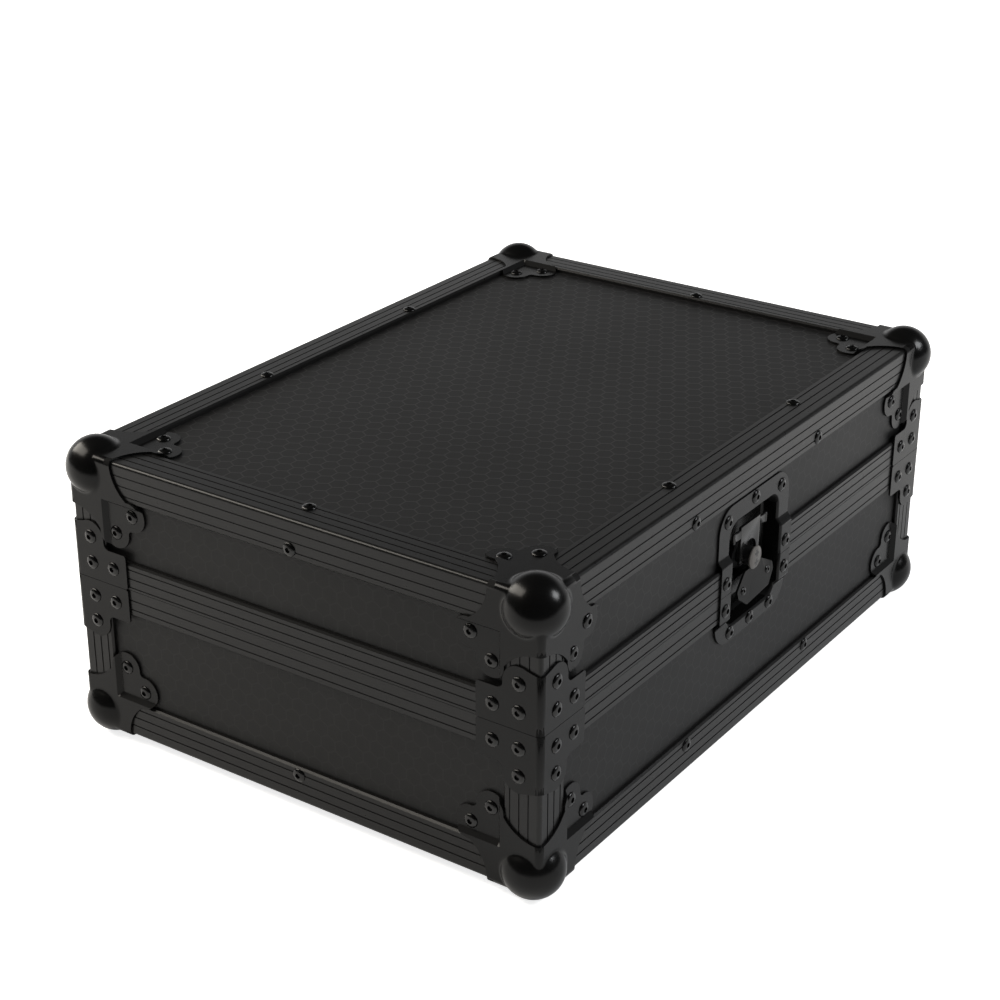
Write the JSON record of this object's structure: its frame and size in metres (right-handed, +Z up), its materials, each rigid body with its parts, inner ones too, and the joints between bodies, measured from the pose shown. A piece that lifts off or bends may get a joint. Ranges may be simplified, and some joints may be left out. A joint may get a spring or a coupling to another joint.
{
  "type": "cd player flight case",
  "caption": "Flight case for a CD player: laminated panels in grooved extrusions, ball corners, recessed butterfly latch, hinged lid, foam lining.",
  "frame": {"origin": "middle of the case on the surface that its lower ball corners stand on", "axes": "+X along the latch side to its right end, +Y from the latch side to the hinges, +Z up"},
  "size_m": [0.5156, 0.3746, 0.2121],
  "materials": {
    "laminate": "satin black laminate with a fine hexagon pattern",
    "extrusion": "black anodised",
    "corner_steel": "black, semi-gloss",
    "rivet": "black, semi-gloss",
    "bright_steel": "bright zinc",
    "wing_steel": "grey plated",
    "grip": "black, satin",
    "foam": "matt dark grey foam"
  },
  "bodies": {
    "base": {"base_back_edge": "extrusion", "base_back_left_ball_corner": "corner_steel", "base_back_panel": "laminate", "base_back_right_ball_corner": "corner_steel", "base_back_seam": "extrusion", "base_floor_panel": "laminate", "base_front_edge": "extrusion", "base_front_left_ball_corner": "corner_steel", "base_front_panel": "laminate", "base_front_right_ball_corner": "corner_steel", "base_front_seam": "extrusion", "base_left_edge": "extrusion", "base_left_panel": "laminate", "base_left_seam": "extrusion", "base_right_edge": "extrusion", "base_right_panel": "laminate", "base_right_seam": "extrusion", "base_rivets": "rivet", "base_seam_braces": "corner_steel", "base_upright_edges": "extrusion", "foam_base_walls": "foam", "foam_floor_pad": "foam", "handle_dish": "corner_steel", "handle_pins": "bright_steel", "hinge_base_leaves": "corner_steel", "hinge_pins": "bright_steel", "latch_lower_dish": "corner_steel"},
    "lid": {"foam_lid_pad": "foam", "foam_lid_walls": "foam", "hinge_lid_leaves": "corner_steel", "latch_spindle": "bright_steel", "latch_upper_dish": "corner_steel", "lid_back_edge": "extrusion", "lid_back_left_ball_corner": "corner_steel", "lid_back_panel": "laminate", "lid_back_right_ball_corner": "corner_steel", "lid_back_seam": "extrusion", "lid_front_edge": "extrusion", "lid_front_left_ball_corner": "corner_steel", "lid_front_panel": "laminate", "lid_front_right_ball_corner": "corner_steel", "lid_front_seam": "extrusion", "lid_left_edge": "extrusion", "lid_left_panel": "laminate", "lid_left_seam": "extrusion", "lid_right_edge": "extrusion", "lid_right_panel": "laminate", "lid_right_seam": "extrusion", "lid_rivets": "rivet", "lid_seam_braces": "corner_steel", "lid_top_panel": "laminate", "lid_upright_edges": "extrusion"},
    "latch_turn": {"latch_boss": "bright_steel", "latch_wing_pin": "bright_steel"},
    "latch_wing": {"latch_wing": "wing_steel"},
    "latch_catch": {"latch_catch": "corner_steel", "latch_catch_rivets": "rivet"},
    "handle_grip": {"handle_grip": "grip"}
  },
  "joints": [
    {"name": "lid_hinge", "type": "hinge", "parent": "base", "child": "lid", "pos_m": [0, 0.184, 0.1173], "axis": [-1, 0, 0], "range_deg": [0, 100]},
    {"name": "latch_turn", "type": "hinge", "parent": "lid", "child": "latch_turn", "pos_m": [0, -0.1795, 0.1283], "axis": [0, -1, 0], "range_deg": [0, 180]},
    {"name": "wing_fold", "type": "hinge", "parent": "latch_turn", "child": "latch_wing", "pos_m": [0, -0.174, 0.1283], "axis": [1, 0, 0], "range_deg": [0, 90]},
    {"name": "catch_slide", "type": "slide", "parent": "lid", "child": "latch_catch", "axis": [0.0698, -0.1732, -0.9824], "range_m": [0, 0.006]},
    {"name": "grip_swing", "type": "hinge", "parent": "base", "child": "handle_grip", "pos_m": [0.242, 0, 0.0775], "axis": [0, -1, 0], "range_deg": [0, 90]}
  ],
  "couplings": [
    {"joint": "catch_slide", "follows": "latch_turn", "m_per_rad": 0.0019}
  ]
}
